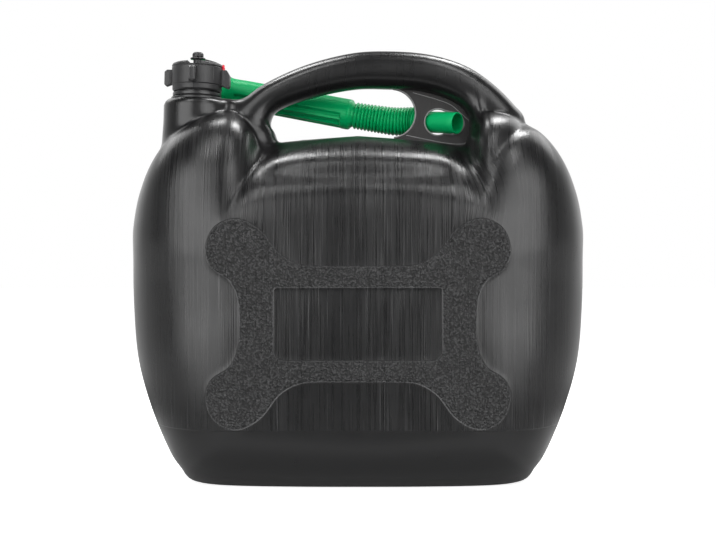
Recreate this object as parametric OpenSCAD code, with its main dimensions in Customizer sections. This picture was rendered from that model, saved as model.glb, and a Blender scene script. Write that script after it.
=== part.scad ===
// Twenty-litre blown fuel can with a screw cap, a child lock, a cap strap and a spout stored
// through the web of its handle. Front is -Y, the neck is on the left, the base stands on Z = 0.

/* [Tank] */
// Overall width of the tank
tank_w = 424; // [408:1:440]
// Overall depth of the tank
tank_d = 176; // [164:1:190]
// Height of the body under the handle
body_h = 323; // [315:1:330]
// Thickness of the blown wall
wall = 2.6; // [2:0.1:3.4]
// Half width of the flat base
base_half = 122; // [112:1:132]
// How far the side rounding reaches in from the outline
side_round = 115; // [100:1:120]
// How far the top rounding reaches down from the outline
top_round = 75; // [65:1:85]
// How far the base rounding reaches up from the outline
base_round = 58; // [50:1:64]
// Depth of the hollow under the base
base_recess = 2.5; // [1.5:0.5:4]

/* [Shoulders] */
// How far the tops of the two shoulder domes lie below the flat round the neck
shoulder_drop = 12; // [10:0.5:18]
// Distance of a dome's crest from the tank's side
shoulder_in = 90; // [84:1:96]
// Half depth of a dome
shoulder_d = 80; // [76:1:82]
// How far the left dome reaches towards the handle
left_reach = 45; // [40:1:50]
// How far the right dome reaches towards the handle
right_reach = 29; // [26:1:36]

/* [Handle] */
// Height of the handle's crown over the body
handle_rise = 80.5; // [78:0.5:86]
// Thickness of the handle seen from the front
handle_t = 35.6; // [32:0.2:38]
// Depth of the handle at its crown
handle_d = 39; // [34:1:42]
// Thickness of the web that holds the spout
web_t = 3.2; // [2.4:0.2:4]
// Radius of the grip opening's round end
grip_end_r = 23.2; // [21:0.2:25]

/* [Pad] */
// Height of the grained pads over the faces
pad_rise = 0.9; // [0.6:0.1:1.6]
// Radius of a pad's round corners
pad_r = 27; // [24:1:30]

/* [Neck] */
// Distance of the neck's axis from the tank's side
neck_in = 59; // [58:0.5:62]
// Height of the flat round the neck over the body
neck_rise = 35; // [32:0.5:37]
// Lean of the neck towards the handle, in degrees
neck_lean = 1.4; // [0:0.1:3]
// Outside radius of the neck tube
neck_r = 20; // [19:0.1:20.4]
// Inside radius of the neck tube
neck_bore_r = 17; // [15:0.1:17.6]
// Radius of the collar that carries the neck
collar_r = 31; // [30:0.5:32]
// Radius of the flange at the neck's foot
flange_r = 24; // [23:0.1:25]

/* [Cap] */
// Radius of the cap's drum
drum_r = 24.2; // [23.8:0.1:25]
// Radius of the cap's skirt
skirt_r = 23.4; // [23.2:0.1:23.8]
// Height of the cap's top over the flat round the neck
cap_h = 34.6; // [33.4:0.2:35.4]
// Radius out to the cap's lugs
lug_r = 31.2; // [30:0.1:32]
// Width of a lug
lug_w = 5.4; // [5:0.1:6.4]
// Thickness of the cap's top
cap_top_t = 2.4; // [2:0.1:3]
// Thickness of the seal under the cap
seal_t = 1.8; // [1.4:0.1:2.4]
// Radius of the button that holds the strap
button_r = 5.3; // [4.8:0.1:6]
// Lead of the neck's thread
thread_lead = 5; // [4:0.5:6]

/* [Strap] */
// Thickness of the strap
strap_t = 1.6; // [1.2:0.1:2]
// Width of the strap
strap_w = 6; // [5:0.5:8]
// Direction in which the strap leaves the button, in degrees from the right
strap_turn = 60; // [55:1:64]
// Gap between parts that move past each other
run_gap = 0.3; // [0.2:0.05:0.4]

/* [Spout] */
// Outside radius of the spout's outlet
tip_r = 10.2; // [9.6:0.1:10.4]
// Outside radius of the spout's stiff length
pipe_r = 14.3; // [13.6:0.1:14.6]
// Outside radius of the spout's foot
foot_r = 22; // [21:0.1:23]
// Wall of the spout
spout_wall = 1.5; // [1.1:0.1:1.8]
// How far the outlet stands out of the web
tip_out = 15; // [14:0.5:20]
// Turn of the outlet towards the front, in degrees
tip_turn = 39; // [38:1:44]
// Number of folds in the bellows
folds = 21; // [15:1:24]

/* [Hidden] */
big = 1000;
half_w = tank_w / 2;
half_d = tank_d / 2;
handle_top = body_h + handle_rise;
neck_base_h = body_h + neck_rise;
shoulder_h = neck_base_h - shoulder_drop;

// Sampling of the lofted skins
around = 60;
bands = 8;
dome_around = 26;
dome_bands = 13;
handle_around = 20;
handle_steps = 3;
spout_around = 20;
cut_fn = 96;

// Outline of the tank in its parting plane, from the middle of the base up the right side
base_dip = 7.5;
outline = [
    [0, -base_dip],
    [base_half - 12, -base_dip],
    [base_half + 30, -1],
    [half_w - 46, 12],
    [half_w - 35, 28],
    [half_w - 17.5, 68],
    [half_w - 5, 112],
    [half_w - 0.5, 160],
    [half_w + 0.3, 210],
    [half_w - 2, 242],
    [half_w - 17, body_h - 45],
    [half_w - 62, body_h - 21],
    [half_w - 132, body_h - 7],
    [0, body_h]
];
heart = [0, 170];

function spline(p, i, t) =
    let (a = p[max(i - 1, 0)], b = p[i], c = p[i + 1], d = p[min(i + 2, len(p) - 1)])
    b + t * (c - a) / 2 + t * t * (a - 2.5 * b + 2 * c - d / 2)
    + t * t * t * (1.5 * b - a / 2 - 1.5 * c + d / 2);
function spline_points(p, steps) = concat(
    [for (i = [0 : len(p) - 2], k = [0 : steps - 1]) spline(p, i, k / steps)], [p[len(p) - 1]]);

// Radius of the outline in direction a, by walking along the spline
right_side = spline_points(outline, 6);
function direction(p) = atan2(p[1] - heart[1], p[0] - heart[0]);
function reach(a, i = 0) =
    let (p = right_side[i], q = right_side[i + 1], u = direction(p), v = direction(q))
    (a <= v || i == len(right_side) - 2)
        ? norm(p + (q - p) * (a - u) / (v - u) - heart)
        : reach(a, i + 1);
function fold(a) = let (b = a > 180 ? a - 360 : a) abs(b) > 90 ? sign(b) * 180 - b : b;

// Rounding of the skin: how far in it reaches and how square it is in direction a
function down(a) = pow(max(0, -sin(a)), 2);
function up(a) = pow(max(0, sin(a)), 2);
function round_in(a) =
    side_round + (top_round - side_round) * up(a) + (base_round - side_round) * down(a);
function square_by(a) = 1 / (1 + 0.5 * down(a));

// One half of the pillow's skin as rings, from the parting plane to a face
function pillow_point(a, share, shrink) =
    let (t = 90 * share,
         r = reach(fold(a)) - shrink,
         e = square_by(a),
         inset = (round_in(a) - shrink) * (1 - pow(cos(t), e)),
         y = (half_d - shrink) * pow(sin(t), e))
    [heart[0] + (r - inset) * cos(a), y, heart[1] + (r - inset) * sin(a)];

module loft(rings) {
    n = len(rings[0]);
    m = len(rings);
    points = [for (r = rings) each r];
    polyhedron(points, concat(
        [[for (j = [0 : n - 1]) j]],
        [for (i = [0 : m - 2], j = [0 : n - 1], h = [0, 1])
            let (k = (j + 1) % n)
            h == 0 ? [i * n + j, (i + 1) * n + j, (i + 1) * n + k]
                   : [i * n + j, (i + 1) * n + k, i * n + k]],
        [[for (j = [n - 1 : -1 : 0]) (m - 1) * n + j]]));
}

module pillow(shrink = 0, n = around, m = bands, from = 0) {
    loft([for (k = [from == 0 ? -m : from : m])
        [for (j = [0 : n - 1])
            let (p = pillow_point(j * 360 / n, abs(k) / m, shrink))
            [p[0], (k < 0 ? 1 : -1) * p[1], p[2]]]]);
}

// A dome with its crest at x and z, reaching out and in by its own half widths
module dome(x, z, rise, out, in, deep, shrink, n, m) {
    loft([for (i = [1 : m - 1])
        let (t = 180 - 180 * i / m)
        [for (j = [0 : n - 1])
            let (a = j * 360 / n, c = sin(t) * cos(a))
            [x + c * ((c < 0 ? in : out) - shrink),
             sin(t) * sin(a) * (deep - shrink),
             z + cos(t) * (rise - shrink)]]]);
}

dome_z = 235;
module domes(shrink = 0, n = dome_around, m = dome_bands) {
    mirror([1, 0, 0])
        dome(half_w - shoulder_in, dome_z, shoulder_h - dome_z, shoulder_in - 3, left_reach,
            shoulder_d, shrink, n, m);
    dome(half_w - shoulder_in, dome_z, shoulder_h - dome_z, shoulder_in - 3, right_reach,
        shoulder_d, shrink, n, m);
}

// Handle: middle line from the left root over the crown to the right root,
// each point with its half thickness and its half depth
neck_x = neck_in - half_w;
crown_x = 26;
crown_t = handle_t / 2;
crown_d = handle_d / 2;
crown_z = handle_top - crown_t;
handle_line = [
    [neck_x + 52, body_h - 30, crown_t + 14, crown_d + 9],
    [neck_x + 52, body_h - 2, crown_t + 6, crown_d + 5],
    [neck_x + 51.5, body_h + 9, crown_t - 0.2, crown_d + 3],
    [neck_x + 54, crown_z - 42, crown_t - 1.7, crown_d + 1],
    [neck_x + 71, crown_z - 25.6, crown_t - 3.8, crown_d],
    [crown_x - 71.7, crown_z - 10.6, crown_t - 2.2, crown_d],
    [crown_x - 32, crown_z - 1.4, crown_t - 0.8, crown_d],
    [crown_x, crown_z, crown_t, crown_d],
    [crown_x + 37, crown_z - 2.7, crown_t, crown_d],
    [crown_x + 68.2, crown_z - 12.1, crown_t, crown_d],
    [crown_x + 91, crown_z - 27.4, crown_t, crown_d + 1],
    [crown_x + 109, crown_z - 45.4, crown_t, crown_d + 3],
    [crown_x + 121.2, crown_z - 62.1, crown_t + 1, crown_d + 6],
    [crown_x + 126, body_h - 36, crown_t + 2, crown_d + 8]
];

function section(p, t, n, shrink) = [for (j = [0 : n - 1])
    let (a = (j + 0.5) * 360 / n,
         c = sign(cos(a)) * pow(abs(cos(a)), 0.86),
         s = sign(sin(a)) * pow(abs(sin(a)), 0.86))
    [p[0] - t[1] * c * (p[2] - shrink), -s * (p[3] - shrink), p[1] + t[0] * c * (p[2] - shrink)]];

module handle(n, steps, shrink = 0) {
    line = spline_points(handle_line, steps);
    last = len(line) - 1;
    loft([for (i = [0 : last])
        let (d = line[min(i + 1, last)] - line[max(i - 1, 0)], l = norm([d[0], d[1]]))
        section(line[i], [d[0] / l, d[1] / l], n, shrink)]);
}

// Saddle: the hollow bridge between the neck's collar and the handle's left root
function saddle_line(shrink) = [
    [neck_x + 8 + shrink, neck_base_h - 17.6, 16, 15],
    [neck_x + 30, neck_base_h - 17, 17.4, 15.5],
    [neck_x + 52 - shrink, neck_base_h - 19, 17, 17]
];
module saddle(n, shrink = 0) {
    line = saddle_line(shrink);
    loft([for (p = line) section(p, [1, 0], n, shrink)]);
}

// Frame of the neck: the flat round its foot is z = 0
module neck_frame() {
    translate([neck_x, 0, neck_base_h]) rotate([0, neck_lean, 0]) children();
}

// Heights over the flat, from the foot of the neck to the button on the cap
flange_h = 1.6;
ring_z = 2.4;
ring_h = 4;
skirt_z = 7;
drum_z = 13.5;
notch_d = 3.6;
ceiling_z = cap_h - notch_d - cap_top_t;
neck_l = ceiling_z - seal_t - run_gap;
collar_h = 62;

module collar(shrink = 0) {
    r = collar_r - shrink;
    soft = 8 - shrink;
    rotate_extrude($fn = cut_fn)
        polygon(concat(
            [[0, -collar_h], [r + 2, -collar_h], [r, -soft - 14]],
            [for (a = [0 : 15 : 90]) [r - soft + soft * cos(a), soft * sin(a) - soft - shrink]],
            [[0, -shrink]]));
}

// Web: the thin plate at the grip's right end with the hole for the outlet,
// which runs on to the right behind the slanting tube
hole_r = 12.65;
hole_x = 75.8;
slot_r = tip_r + 0.35;
tip_x = 82.2;
tip_z = body_h + 13.2;
tip_fall = 0.1;
slot_half = tip_r / sin(tip_turn) + web_t / 2 / tan(tip_turn) + run_gap;
slot_lean = atan(tip_fall / cos(tip_turn));
grip_x = 31.4;
grip_z = (body_h + handle_top - handle_t) / 2 - 0.6;

module web() {
    difference() {
        translate([0, web_t / 2, 0]) rotate([90, 0, 0]) linear_extrude(web_t)
            polygon([
                [grip_x, body_h - 20],
                [grip_x, crown_z],
                [crown_x + 37, crown_z - 3],
                [crown_x + 68, crown_z - 12],
                [crown_x + 110, crown_z - 45],
                [crown_x + 110, body_h - 40],
                [grip_x + 50, body_h - 30]
            ]);
        translate([grip_x, 0, grip_z]) rotate([90, 0, 0])
            cylinder(h = 2 * web_t, r = grip_end_r, center = true, $fn = cut_fn);
        translate([hole_x, 0, tip_z + 0.4]) rotate([90, 0, 0])
            cylinder(h = 2 * web_t, r = hole_r, center = true, $fn = cut_fn);
        translate([tip_x, 0, tip_z]) rotate([0, slot_lean, 0]) {
            for (side = [-1, 1])
                translate([side * (slot_half - slot_r), 0, 0]) rotate([90, 0, 0])
                    cylinder(h = 2 * web_t, r = slot_r, center = true, $fn = cut_fn);
            cube([2 * (slot_half - slot_r), 2 * web_t, 2 * slot_r], center = true);
        }
    }
}

// Grained pad: four lobes joined by bars round a smooth window
pad_z = 148.6;
quarter = [
    [0, 50.7], [34, 50.7], [53, 52.5], [70, 62.5], [107.5 - pad_r * 0.77, 65.8 + pad_r * 0.64],
    [107.5, 65.8 + pad_r], [107.5 + pad_r * 0.71, 65.8 + pad_r * 0.71], [107.5 + pad_r, 65.8],
    [107.5 + pad_r * 0.8, 65.8 - pad_r * 0.6], [113, 38], [105.5, 22], [104, 0]
];
pad_side = spline_points(quarter, 3);
pad_n = len(pad_side);
function turned(p, sx, sz) = [sx * p[0], sz * p[1]];
pad_outline = concat(
    [for (i = [0 : pad_n - 2]) turned(pad_side[i], 1, 1)],
    [for (i = [pad_n - 1 : -1 : 1]) turned(pad_side[i], 1, -1)],
    [for (i = [0 : pad_n - 2]) turned(pad_side[i], -1, -1)],
    [for (i = [pad_n - 1 : -1 : 1]) turned(pad_side[i], -1, 1)]);
window_w = 150;
window_h = 65;

window_r = 9;

module pad() {
    intersection() {
        pillow(-pad_rise, around, bands, 3);
        translate([0, 0, pad_z]) rotate([90, 0, 0])
            linear_extrude(tank_d) difference() {
                polygon(pad_outline);
                square([window_w - 2 * window_r, window_h], center = true);
                translate([0, window_r / 2])
                    square([window_w, window_h - window_r], center = true);
                for (side = [-1, 1])
                    translate([side * (window_w / 2 - window_r), window_r - window_h / 2])
                        circle(window_r, $fn = 40);
            }
    }
}

module neck_outside() {
    collar();
    cylinder(h = flange_h, r = flange_r, $fn = cut_fn);
    translate([0, 0, -5]) cylinder(h = neck_l + 5, r = neck_r, $fn = cut_fn);
}

module tank() {
    color([0.09, 0.09, 0.1])
    difference() {
        union() {
            difference() {
                union() {
                    pillow();
                    domes();
                    handle(handle_around, handle_steps);
                    saddle(16);
                    neck_frame() neck_outside();
                    for (turn = [0, 180]) rotate([0, 0, turn]) pad();
                }
                translate([0, 0, -big / 2]) cube(big, center = true);
                cube([2 * base_half - 30, 76, 2 * base_recess], center = true);
            }
            web();
        }
        difference() {
            union() {
                pillow(wall, 40, 6);
                domes(wall, 18, 9);
                handle(12, 2, wall);
                saddle(12, wall);
                neck_frame() {
                    collar(wall);
                    translate([0, 0, -20])
                        cylinder(h = neck_l + 40, r = neck_bore_r, $fn = cut_fn);
                }
            }
            translate([0, 0, base_recess + wall - big / 2]) cube(big, center = true);
        }
    }
}

// Cap, all in the frame of the neck
cap_bore_r = 21.4;
lever_r = 25.6;
lever_t = 2.2;
lever_w = 5;
pin_r = 1.2;
pin_z = 17;
cap_turn_by = -2.5;
side_gap = 0.3;
notch_w = 13.4;
stem_r = 3.4;
boss_r = 4.3;
button_z = cap_h + 5.3;

module lug(from, to, w) {
    translate([0, w / 2, 0]) rotate([90, 0, 0]) linear_extrude(w)
        polygon([
            [cap_bore_r + 1, from + 2.5], [lug_r - 2, from], [lug_r, from + 2],
            [lug_r, to - 2], [lug_r - 2.5, to], [cap_bore_r + 1, to]
        ]);
}

module cap() {
    color([0.12, 0.12, 0.13])
    neck_frame() {
        difference() {
            union() {
                rotate_extrude($fn = cut_fn)
                    polygon([
                        [0, skirt_z], [skirt_r - 0.5, skirt_z], [skirt_r, skirt_z + 0.6],
                        [skirt_r, drum_z - 0.5], [drum_r, drum_z], [drum_r, cap_h - 3.4],
                        [drum_r - 0.8, cap_h - 1.6], [drum_r - 3.4, cap_h - 0.4],
                        [drum_r - 7, cap_h], [0, cap_h]
                    ]);
                rotate([0, 0, cap_turn_by]) {
                    rotate([0, 0, 180]) lug(11.8, 27.8, lug_w);
                    for (a = [90, 270]) rotate([0, 0, a]) {
                        lug(13.2, 28.2, lug_w);
                        translate([skirt_r - 1, -0.9, skirt_z + 1.2])
                            cube([1.9, 1.8, drum_z - skirt_z + 1.7]);
                    }
                    translate([0, 5, 0]) rotate([90, 0, 0]) linear_extrude(10)
                        polygon([
                            [cap_bore_r + 1, 13.5], [lug_r - 1.5, 10.8], [lug_r, 12.3],
                            [lug_r, 22.5], [28.2, 27.8], [cap_bore_r + 1, 27.8]
                        ]);
                }
            }
            translate([0, 0, skirt_z - 1])
                cylinder(h = ceiling_z - skirt_z + 1, r = cap_bore_r, $fn = cut_fn);
            rotate([0, 0, cap_turn_by]) {
                translate([-notch_w / 2, -drum_r - 5, cap_h - notch_d])
                    cube([notch_w, drum_r + 13, 10]);
                translate([lever_r - 0.5, -lever_w / 2 - side_gap, 0])
                    cube([lever_t + 1, lever_w + 2 * side_gap, 60]);
                translate([22.3, -lever_w / 2 - side_gap, 21])
                    cube([4, lever_w + 2 * side_gap, 30]);
                translate([lever_r + lever_t / 2, 0, pin_z]) rotate([90, 0, 0])
                    cylinder(h = 8, r = pin_r + 0.06, center = true, $fn = 48);
            }
        }
        translate([0, 0, cap_h - notch_d - 1]) {
            cylinder(h = button_z - cap_h + notch_d + 1.2, r = stem_r, $fn = 48);
            cylinder(h = eye_z - run_gap - cap_h + notch_d + 1, r = boss_r, $fn = 48);
        }
        translate([0, 0, button_z])
            rotate_extrude($fn = 48)
                polygon([
                    [0, 0], [button_r - 0.6, 0], [button_r, 0.8], [button_r, 3.4],
                    [button_r - 1.4, 5], [0, 5]
                ]);
    }
}

module cap_seal() {
    color([0.75, 0.74, 0.7])
    neck_frame()
        translate([0, 0, ceiling_z - seal_t])
            difference() {
                cylinder(h = seal_t, r = cap_bore_r - 0.2, $fn = cut_fn);
                translate([0, 0, -1]) cylinder(h = seal_t + 2, r = neck_bore_r - 3, $fn = cut_fn);
            }
}

module lock_lever() {
    color([0.8, 0.06, 0.08])
    neck_frame() rotate([0, 0, cap_turn_by]) {
        translate([0, lever_w / 2, 0]) rotate([90, 0, 0]) linear_extrude(lever_w)
            polygon([
                [lever_r, 12.5], [lever_r + lever_t, 12.5], [lever_r + lever_t, 21.5],
                [26.2, 28], [25.6, 33.2], [23.6, 33.2], [23.8, 28], [lever_r, 22]
            ]);
        translate([lever_r + lever_t / 2, 0, pin_z]) rotate([90, 0, 0])
            cylinder(h = 7.4, r = pin_r, center = true, $fn = 48);
    }
}

// Strap: an eye round the button, a band back and down, and a ring round the neck
eye_z = cap_h + 3.4;
strap_r = 33;
module strap() {
    color([0.12, 0.12, 0.13])
    neck_frame() rotate([0, 0, strap_turn]) {
        difference() {
            union() {
                translate([0, 0, eye_z]) cylinder(h = strap_t, r = 7.2, $fn = 48);
                translate([0, -strap_w / 2, eye_z]) cube([strap_r, strap_w, strap_t]);
                translate([strap_r - 0.4, -strap_w / 2, ring_z + 1.2])
                    cube([strap_t + 0.4, strap_w, eye_z + strap_t - ring_z - 1.2]);
                translate([skirt_r - 3, -strap_w / 2, ring_z + 1.2])
                    cube([strap_r - skirt_r + 4, strap_w, strap_t]);
                translate([0, 0, ring_z]) cylinder(h = ring_h, r = skirt_r - 0.4, $fn = cut_fn);
            }
            translate([0, 0, ring_z - 1]) cylinder(h = ring_h + 2, r = neck_r + run_gap, $fn = cut_fn);
            translate([0, 0, eye_z - 1]) cylinder(h = 4, r = stem_r + run_gap, $fn = 48);
        }
    }
}

// Spout: one tube of rings along a bent line, each ring with its own radius
tip_dir = [cos(tip_turn), -sin(tip_turn), -tip_fall] / norm([1, tip_fall]);
tip_at = [tip_x, 0, tip_z];
pipe_end = [-12.7, 36, body_h + 26.1];
pipe_dir = [-1, 0.195, 0.209] / norm([1, 0.195, 0.209]);
pipe_l = 162;
bend = [
    pipe_end - pipe_dir * 0,
    pipe_end - pipe_dir * 10,
    [16.6, 31.8, body_h + 20.7],
    [36, 28, body_h + 17.6],
    tip_at - tip_dir * 36,
    tip_at - tip_dir * 25,
    tip_at
];
bend_points = spline_points(bend, 6);
function run(p, i = 0, s = 0) = i == len(p) - 1 ? [s] : concat([s], run(p, i + 1,
    s + norm(p[i + 1] - p[i])));
bend_run = run(bend_points);
function at_run(s, i = 0) = (s <= bend_run[i + 1] || i == len(bend_run) - 2)
    ? bend_points[i] + (bend_points[i + 1] - bend_points[i])
        * (s - bend_run[i]) / (bend_run[i + 1] - bend_run[i])
    : at_run(s, i + 1);
bend_l = bend_run[len(bend_run) - 1];
bellows_at = 10;
bellows_l = bend_l - bellows_at - 24;
pitch = bellows_l / folds;

// Stations: distance along the line from the pipe's end, outside radius
stations = concat(
    [[-pipe_l, foot_r - 1], [-pipe_l + 1, foot_r], [-pipe_l + 30, foot_r],
     [-pipe_l + 32, foot_r - 2], [-pipe_l + 44, pipe_r], [-6, pipe_r], [0, pipe_r + 0.6],
     [6, pipe_r + 0.6], [9, 12.2]],
    [for (i = [0 : folds - 1]) let (w = i / (folds - 1), r = 13 + 1.3 * w)
        each [[bellows_at + i * pitch, r - 1.7], [bellows_at + (i + 0.5) * pitch, r]]],
    [[bend_l - 24, tip_r + 1], [bend_l - 22, tip_r], [bend_l + tip_out, tip_r]]);
inner_stations = [
    [bend_l + tip_out, tip_r - spout_wall + 0.2], [bend_l - 22, tip_r - spout_wall + 0.2],
    [bend_l - 36, 9.4], [bend_l - 60, 9.2], [bellows_at, 9], [-2, pipe_r - spout_wall],
    [-pipe_l + 44, pipe_r - spout_wall], [-pipe_l + 32, foot_r - 4],
    [-pipe_l, foot_r - 3]
];
function spout_point(s) = s < 0 ? pipe_end + pipe_dir * -s
    : s > bend_l ? tip_at + tip_dir * (s - bend_l) : at_run(s);
function unit(v) = v / norm(v);
function spout_ring(st, n) =
    let (p = spout_point(st[0]),
         t = unit(spout_point(st[0] + 1.5) - spout_point(st[0] - 1.5)),
         u = unit(cross([0, 0, 1], t)), v = cross(t, u))
    [for (j = [0 : n - 1]) let (a = (j + 0.5) * 360 / n) p + st[1] * (cos(a) * u + sin(a) * v)];

module spout() {
    color([0.05, 0.6, 0.36]) {
        rings = concat(
            [for (s = stations) spout_ring(s, spout_around)],
            [for (s = inner_stations) spout_ring(s, spout_around)]);
        n = spout_around;
        m = len(rings);
        polyhedron([for (r = rings) each r],
            [for (i = [0 : m - 1], j = [0 : n - 1], h = [0, 1])
                let (k = (j + 1) % n, e = (i + 1) % m)
                h == 0 ? [i * n + j, e * n + j, e * n + k] : [i * n + j, e * n + k, i * n + k]]);
    }
}

tank();
spout();
cap();
cap_seal();
lock_lever();
strap();
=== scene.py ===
import math

import bpy
import numpy as np
import openvdb
from mathutils import Matrix, Vector


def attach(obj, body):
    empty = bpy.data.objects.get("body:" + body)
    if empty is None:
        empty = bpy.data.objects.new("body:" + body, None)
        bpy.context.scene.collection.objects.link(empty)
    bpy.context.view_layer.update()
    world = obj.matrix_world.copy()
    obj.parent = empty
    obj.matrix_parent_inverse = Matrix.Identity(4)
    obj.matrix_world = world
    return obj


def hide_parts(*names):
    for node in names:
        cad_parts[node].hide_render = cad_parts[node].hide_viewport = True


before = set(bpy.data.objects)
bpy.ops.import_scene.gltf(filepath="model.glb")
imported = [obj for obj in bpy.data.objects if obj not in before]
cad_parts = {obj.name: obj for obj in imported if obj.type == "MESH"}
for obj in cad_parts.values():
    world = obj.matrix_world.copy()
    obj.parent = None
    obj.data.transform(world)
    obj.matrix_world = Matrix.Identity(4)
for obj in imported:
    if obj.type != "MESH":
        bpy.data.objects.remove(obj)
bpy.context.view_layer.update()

MM = 0.001
scene = bpy.context.scene

# Sizes, in millimetres
HALF_W, HALF_D, BODY_H = 212.0, 88.0, 323.0
DIP, PAD_Z = 7.5, 148.6
HEART_Z = 170.0
HANDLE_TOP, HANDLE_T, HANDLE_D = 403.5, 35.6, 39.0
WEB_T = 3.2
NECK_X, NECK_Z, NECK_LEAN = -153.0, 358.0, math.radians(1.4)
NECK_R, BORE_R, COLLAR_R = 20.0, 17.0, 31.0
CAP_H, DRUM_R, SKIRT_R, LUG_R, CAP_BORE_R = 34.6, 24.2, 23.4, 31.2, 21.4
CAP_TURN = math.radians(-2.5)
LUG_ROOT = CAP_BORE_R + 1
NECK_TOP, CEILING_Z, SKIRT_Z, DRUM_Z = 26.5, 28.5, 7.0, 13.5
NOTCH_W, NOTCH_D, BOSS_R, STEM_R = 13.4, 3.6, 4.3, 3.4
EYE_Z, EYE_T, BUTTON_Z = 38.0, 1.6, 39.9
NECK = Matrix.Translation((NECK_X, 0, NECK_Z)) @ Matrix.Rotation(NECK_LEAN, 4, "Y")
TIP_TURN = math.radians(39)
TIP_AT = np.array([82.2, 0.0, 336.2])
TIP_DIR = np.array([math.cos(TIP_TURN), -math.sin(TIP_TURN), -0.1])
TIP_DIR /= np.linalg.norm(TIP_DIR)


# Helpers
def smooth_line(points, steps):
    """Catmull-Rom line through the points."""
    p = [np.array(q, float) for q in points]
    out = []
    for i in range(len(p) - 1):
        a, b, c, d = p[max(i - 1, 0)], p[i], p[i + 1], p[min(i + 2, len(p) - 1)]
        for k in range(steps):
            t = k / steps
            out.append(
                b + t * (c - a) / 2 + t * t * (a - 2.5 * b + 2 * c - d / 2)
                + t**3 * (1.5 * b - a / 2 - 1.5 * c + d / 2)
            )
    out.append(p[-1])
    return np.array(out)


def smooth_step(x, low, high):
    t = np.clip((x - low) / (high - low), 0, 1)
    return t * t * (3 - 2 * t)


def blend_min(a, b, k):
    h = np.clip(0.5 + 0.5 * (b - a) / k, 0, 1)
    return b * (1 - h) + a * h - k * h * (1 - h)


def blend_max(a, b, k):
    return -blend_min(-a, -b, k)


def add_mesh(name, verts, faces, material, body, matrix=None, smooth=True, scale=MM):
    mesh = bpy.data.meshes.new(name)
    mesh.from_pydata([tuple(v) for v in verts], [], [tuple(int(i) for i in f) for f in faces])
    mesh.update()
    obj = bpy.data.objects.new(name, mesh)
    scene.collection.objects.link(obj)
    place = matrix.copy() if matrix else Matrix.Identity(4)
    mesh.transform(Matrix.Scale(scale, 4) @ place)
    if smooth:
        mesh.shade_smooth()
    mesh.materials.append(material)
    if body:
        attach(obj, body)
    return obj


def rings_to_faces(m, n, closed_ends=False, loop=False):
    faces = []
    for i in range(m if loop else m - 1):
        a, b = i * n, ((i + 1) % m) * n
        for j in range(n):
            k = (j + 1) % n
            faces.append((a + j, a + k, b + k, b + j))
    if closed_ends:
        faces.append(tuple(range(n - 1, -1, -1)))
        faces.append(tuple((m - 1) * n + j for j in range(n)))
    return faces


def lathe(profile, n=96):
    """Turned form from (radius, height) points. A radius of 0 gives a small ring."""
    verts = []
    for r, z in profile:
        r = max(r, 0.02)
        for j in range(n):
            a = 2 * math.pi * j / n
            verts.append((r * math.cos(a), r * math.sin(a), z))
    return verts, rings_to_faces(len(profile), n, closed_ends=True)


def round_profile(points, r=0.5, steps=4):
    """Rounds the corners of an open profile."""
    out = [np.array(points[0], float)]
    for i in range(1, len(points) - 1):
        a, b, c = (np.array(points[i + k], float) for k in (-1, 0, 1))
        la, lc = np.linalg.norm(a - b), np.linalg.norm(c - b)
        if min(la, lc) < 1e-6:
            continue
        d = min(r, la * 0.45, lc * 0.45)
        p, q = b + (a - b) / la * d, b + (c - b) / lc * d
        for k in range(steps + 1):
            t = k / steps
            out.append((1 - t) ** 2 * p + 2 * t * (1 - t) * b + t * t * q)
    out.append(np.array(points[-1], float))
    return out


def slab(points, w, matrix):
    """Extruded outline: points are (radius, height), w is its width across."""
    n = len(points)
    verts = [Vector((p[0], s * w / 2, p[1])) for s in (-1, 1) for p in points]
    faces = [tuple(range(n)), tuple(range(2 * n - 1, n - 1, -1))]
    faces += [(j, n + j, n + (j + 1) % n, (j + 1) % n) for j in range(n)]
    return [matrix @ v for v in verts], faces


def bevel(obj, width, segments=3, angle=35):
    m = obj.modifiers.new("soft_edges", "BEVEL")
    m.width, m.segments, m.limit_method = width * MM, segments, "ANGLE"
    m.angle_limit = math.radians(angle)
    m.harden_normals = False
    return obj


def sharpen(obj, angle=40):
    obj.data.set_sharp_from_angle(angle=math.radians(angle))
    return obj


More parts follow.
